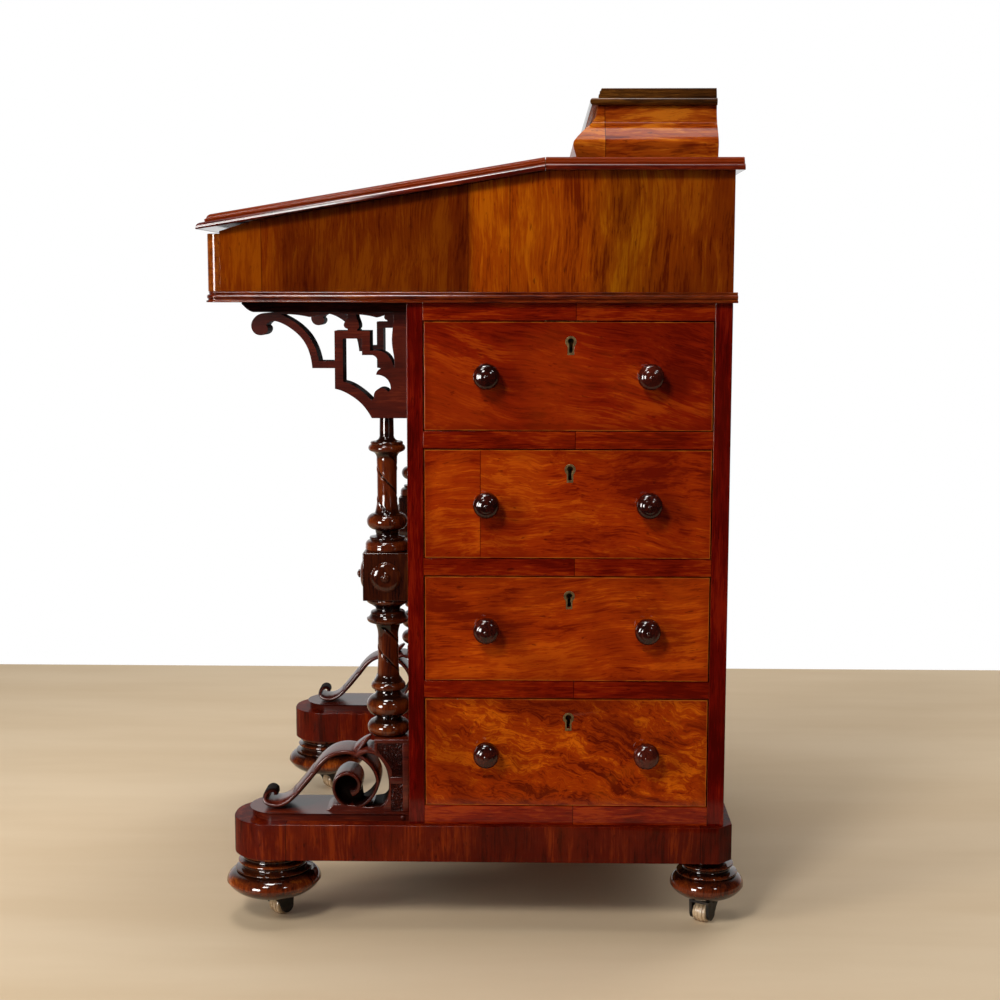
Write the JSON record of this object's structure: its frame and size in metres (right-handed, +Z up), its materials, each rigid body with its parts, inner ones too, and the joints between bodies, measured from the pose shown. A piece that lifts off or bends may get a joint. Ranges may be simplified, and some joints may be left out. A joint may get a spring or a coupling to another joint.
{
  "type": "davenport desk",
  "caption": "Davenport writing desk: sloped lift-up writing box with a lidded gallery over a case of side drawers, on turned columns, scroll feet and a castored plinth.",
  "frame": {"origin": "on the floor, in the middle of the desk's overall width and depth", "axes": "+Z up; the writer sits at -Y, where the slope is lowest; the working drawers open to +X"},
  "size_m": [0.5892, 0.5735, 0.8859],
  "materials": {
    "veneer": "figured walnut veneer, french polished",
    "drawer_walnut": "figured walnut veneer, french polished",
    "case_wood": "dark red polished hardwood",
    "turned_wood": "dark carved and turned walnut, polished",
    "inner_wood": "plain secondary wood, unpolished",
    "skiver_leather": "smooth aged writing leather",
    "lock_brass": "dull aged brass",
    "castor_iron": "dark bronzed metal",
    "wheel_china": null
  },
  "bodies": {
    "desk": {"bun_feet_front": "turned_wood", "bun_feet_rear": "turned_wood", "castor_sockets": "castor_iron", "plinth_side_right": "case_wood", "plinth_side_left": "case_wood", "plinth_cross_rails": "case_wood", "case_front_board": "case_wood", "case_back_board": "case_wood", "case_side_left": "case_wood", "drawer_rails": "case_wood", "drawer_runners": "inner_wood", "dummy_drawer_fronts": "drawer_walnut", "case_bottom_board": "inner_wood", "dummy_knobs": "turned_wood", "dummy_escutcheons": "lock_brass", "box_sides": "veneer", "box_front": "veneer", "box_back": "case_wood", "box_floor": "inner_wood", "box_moulding": "case_wood", "top_board": "case_wood", "hinge_fixed_leaves": "lock_brass", "gallery_walls": "veneer", "column_right": "turned_wood", "column_left": "turned_wood", "fret_bracket_right": "turned_wood", "fret_bracket_left": "turned_wood", "top_bearers": "case_wood", "scroll_bracket_right": "turned_wood", "scroll_bracket_left": "turned_wood"},
    "slope_lid": {"slope_board": "case_wood", "slope_skiver": "skiver_leather", "slope_hinge_leaves": "lock_brass"},
    "gallery_lid_body": {"gallery_lid": "case_wood", "gallery_hinge_leaves": "lock_brass"},
    "drawer_1": {"drawer_front_1": "drawer_walnut", "drawer_box_1": "inner_wood", "drawer_knobs_1": "turned_wood", "drawer_lock_1": "lock_brass"},
    "drawer_2": {"drawer_front_2": "drawer_walnut", "drawer_box_2": "inner_wood", "drawer_knobs_2": "turned_wood", "drawer_lock_2": "lock_brass"},
    "drawer_3": {"drawer_front_3": "drawer_walnut", "drawer_box_3": "inner_wood", "drawer_knobs_3": "turned_wood", "drawer_lock_3": "lock_brass"},
    "drawer_4": {"drawer_front_4": "drawer_walnut", "drawer_box_4": "inner_wood", "drawer_knobs_4": "turned_wood", "drawer_lock_4": "lock_brass"},
    "castor_front_right": {"castor_fork_front_right": "castor_iron"},
    "wheel_front_right": {"castor_wheel_front_right": "wheel_china"},
    "castor_front_left": {"castor_fork_front_left": "castor_iron"},
    "wheel_front_left": {"castor_wheel_front_left": "wheel_china"},
    "castor_rear_right": {"castor_fork_rear_right": "castor_iron"},
    "wheel_rear_right": {"castor_wheel_rear_right": "wheel_china"},
    "castor_rear_left": {"castor_fork_rear_left": "castor_iron"},
    "wheel_rear_left": {"castor_wheel_rear_left": "wheel_china"}
  },
  "joints": [
    {"name": "slope_lid_hinge", "type": "hinge", "parent": "desk", "child": "slope_lid", "pos_m": [0, 0.0679, 0.8145], "axis": [-1, 0, 0], "range_deg": [0, 105]},
    {"name": "gallery_lid_hinge", "type": "hinge", "parent": "desk", "child": "gallery_lid_body", "pos_m": [0, 0.2447, 0.86755], "axis": [-1, 0, 0], "range_deg": [0, 100]},
    {"name": "drawer_1_slide", "type": "slide", "parent": "desk", "child": "drawer_1", "axis": [1, 0, 0], "range_m": [0, 0.36]},
    {"name": "drawer_2_slide", "type": "slide", "parent": "desk", "child": "drawer_2", "axis": [1, 0, 0], "range_m": [0, 0.36]},
    {"name": "drawer_3_slide", "type": "slide", "parent": "desk", "child": "drawer_3", "axis": [1, 0, 0], "range_m": [0, 0.36]},
    {"name": "drawer_4_slide", "type": "slide", "parent": "desk", "child": "drawer_4", "axis": [1, 0, 0], "range_m": [0, 0.36]},
    {"name": "castor_front_right_swivel", "type": "hinge", "parent": "desk", "child": "castor_front_right", "pos_m": [0.2325, -0.2249, 0.025], "axis": [0, 0, 1], "continuous": true},
    {"name": "wheel_front_right_roll", "type": "hinge", "parent": "castor_front_right", "child": "wheel_front_right", "pos_m": [0.22656, -0.21955, 0.011], "axis": [0.6691, 0.7431, 0], "continuous": true},
    {"name": "castor_front_left_swivel", "type": "hinge", "parent": "desk", "child": "castor_front_left", "pos_m": [-0.2325, -0.2249, 0.025], "axis": [0, 0, 1], "continuous": true},
    {"name": "wheel_front_left_roll", "type": "hinge", "parent": "castor_front_left", "child": "wheel_front_left", "pos_m": [-0.23844, -0.21955, 0.011], "axis": [0.6691, 0.7431, 0], "continuous": true},
    {"name": "castor_rear_right_swivel", "type": "hinge", "parent": "desk", "child": "castor_rear_right", "pos_m": [0.2325, 0.2469, 0.025], "axis": [0, 0, 1], "continuous": true},
    {"name": "wheel_rear_right_roll", "type": "hinge", "parent": "castor_rear_right", "child": "wheel_rear_right", "pos_m": [0.23928, 0.24266, 0.011], "axis": [-0.5299, -0.848, 0], "continuous": true},
    {"name": "castor_rear_left_swivel", "type": "hinge", "parent": "desk", "child": "castor_rear_left", "pos_m": [-0.2325, 0.2469, 0.025], "axis": [0, 0, 1], "continuous": true},
    {"name": "wheel_rear_left_roll", "type": "hinge", "parent": "castor_rear_left", "child": "wheel_rear_left", "pos_m": [-0.22572, 0.24266, 0.011], "axis": [-0.5299, -0.848, 0], "continuous": true}
  ]
}
